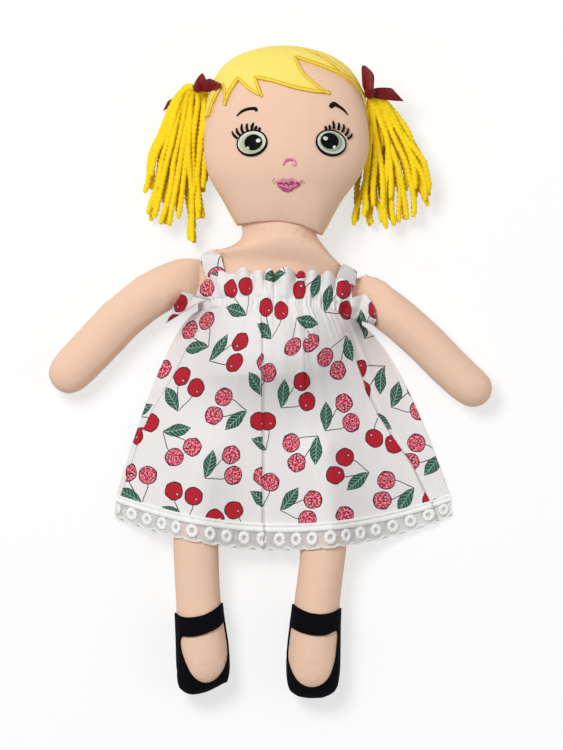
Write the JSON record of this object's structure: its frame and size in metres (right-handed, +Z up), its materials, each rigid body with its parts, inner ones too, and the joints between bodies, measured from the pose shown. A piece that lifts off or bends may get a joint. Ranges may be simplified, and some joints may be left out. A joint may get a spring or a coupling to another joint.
{
  "type": "rag doll",
  "caption": "Stuffed cloth doll lying on its back, with hinged arms, legs and head, yarn bunches, a gathered dress with lace hem and strap shoes.",
  "frame": {"origin": "on the surface the doll lies on, under the middle of its torso, on the flat underside of the dress's back panel", "axes": "+X to the viewer's right as the doll faces up, +Y along the doll to the crown, +Z up out of the chest"},
  "size_m": [0.2727, 0.4028, 0.0634],
  "materials": {
    "skin_cotton": "plain woven cotton, matte",
    "yellow_cloth": "plain woven cotton, matte",
    "yellow_yarn": "thick twisted yarn",
    "red_satin": "satin ribbon",
    "printed_cotton": "white cotton with a cherry print",
    "white_lace": "eyelet lace",
    "black_felt": "felt",
    "white_thread": "embroidery thread",
    "black_thread": "embroidery thread",
    "pink_thread": "embroidery thread"
  },
  "bodies": {
    "torso": {"torso": "skin_cotton", "dress_elastic": "printed_cotton", "strap_left": "printed_cotton", "strap_right": "printed_cotton", "dress_frill": "printed_cotton", "dress_frill_back": "printed_cotton", "skirt_front": "printed_cotton", "skirt_back": "printed_cotton", "lace_front": "white_lace", "lace_back": "white_lace"},
    "neck": {"neck": "skin_cotton"},
    "head": {"head": "skin_cotton", "hair_back": "yellow_cloth", "hair_fringe": "yellow_cloth", "eye_left": "white_thread", "eye_right": "white_thread", "brow_left": "black_thread", "brow_right": "black_thread", "nose": "pink_thread", "lips": "pink_thread", "bow_left": "red_satin", "bow_right": "red_satin"},
    "arm_left": {"arm_left": "skin_cotton"},
    "arm_right": {"arm_right": "skin_cotton"},
    "leg_left": {"leg_left": "skin_cotton", "shoe_left": "black_felt"},
    "leg_right": {"leg_right": "skin_cotton", "shoe_right": "black_felt"},
    "bunch_left": {"yarn_bunch_left": "yellow_yarn"},
    "bunch_right": {"yarn_bunch_right": "yellow_yarn"}
  },
  "joints": [
    {"name": "head_turn", "type": "hinge", "parent": "torso", "child": "neck", "pos_m": [-0.00125, 0.067, 0.0275], "axis": [0, 1, 0], "range_deg": [-40, 40]},
    {"name": "head_nod", "type": "hinge", "parent": "neck", "child": "head", "pos_m": [-0.00125, 0.0773, 0.0275], "axis": [1, 0, 0], "range_deg": [0, 35]},
    {"name": "arm_left_lift", "type": "hinge", "parent": "torso", "child": "arm_left", "pos_m": [-0.05015, 0.043, 0.0155], "axis": [0, 1, 0], "range_deg": [0, 75], "deforming": ["dress_frill"]},
    {"name": "arm_right_lift", "type": "hinge", "parent": "torso", "child": "arm_right", "pos_m": [0.04765, 0.0325, 0.0155], "axis": [0, -1, 0], "range_deg": [0, 75], "deforming": ["dress_frill"]},
    {"name": "leg_left_lift", "type": "hinge", "parent": "torso", "child": "leg_left", "pos_m": [-0.04225, -0.0399, 0.0155], "axis": [-1, 0, 0], "range_deg": [0, 75], "deforming": ["skirt_front", "lace_front"]},
    {"name": "leg_right_lift", "type": "hinge", "parent": "torso", "child": "leg_right", "pos_m": [0.01775, -0.0399, 0.0155], "axis": [-1, 0, 0], "range_deg": [0, 75], "deforming": ["skirt_front", "lace_front"]},
    {"name": "bunch_left_swing", "type": "hinge", "parent": "head", "child": "bunch_left", "pos_m": [-0.04917, 0.1608, 0.022], "axis": [0, 0, -1], "range_deg": [0, 60]},
    {"name": "bunch_right_swing", "type": "hinge", "parent": "head", "child": "bunch_right", "pos_m": [0.054, 0.1608, 0.022], "axis": [0, 0, 1], "range_deg": [0, 60]}
  ]
}
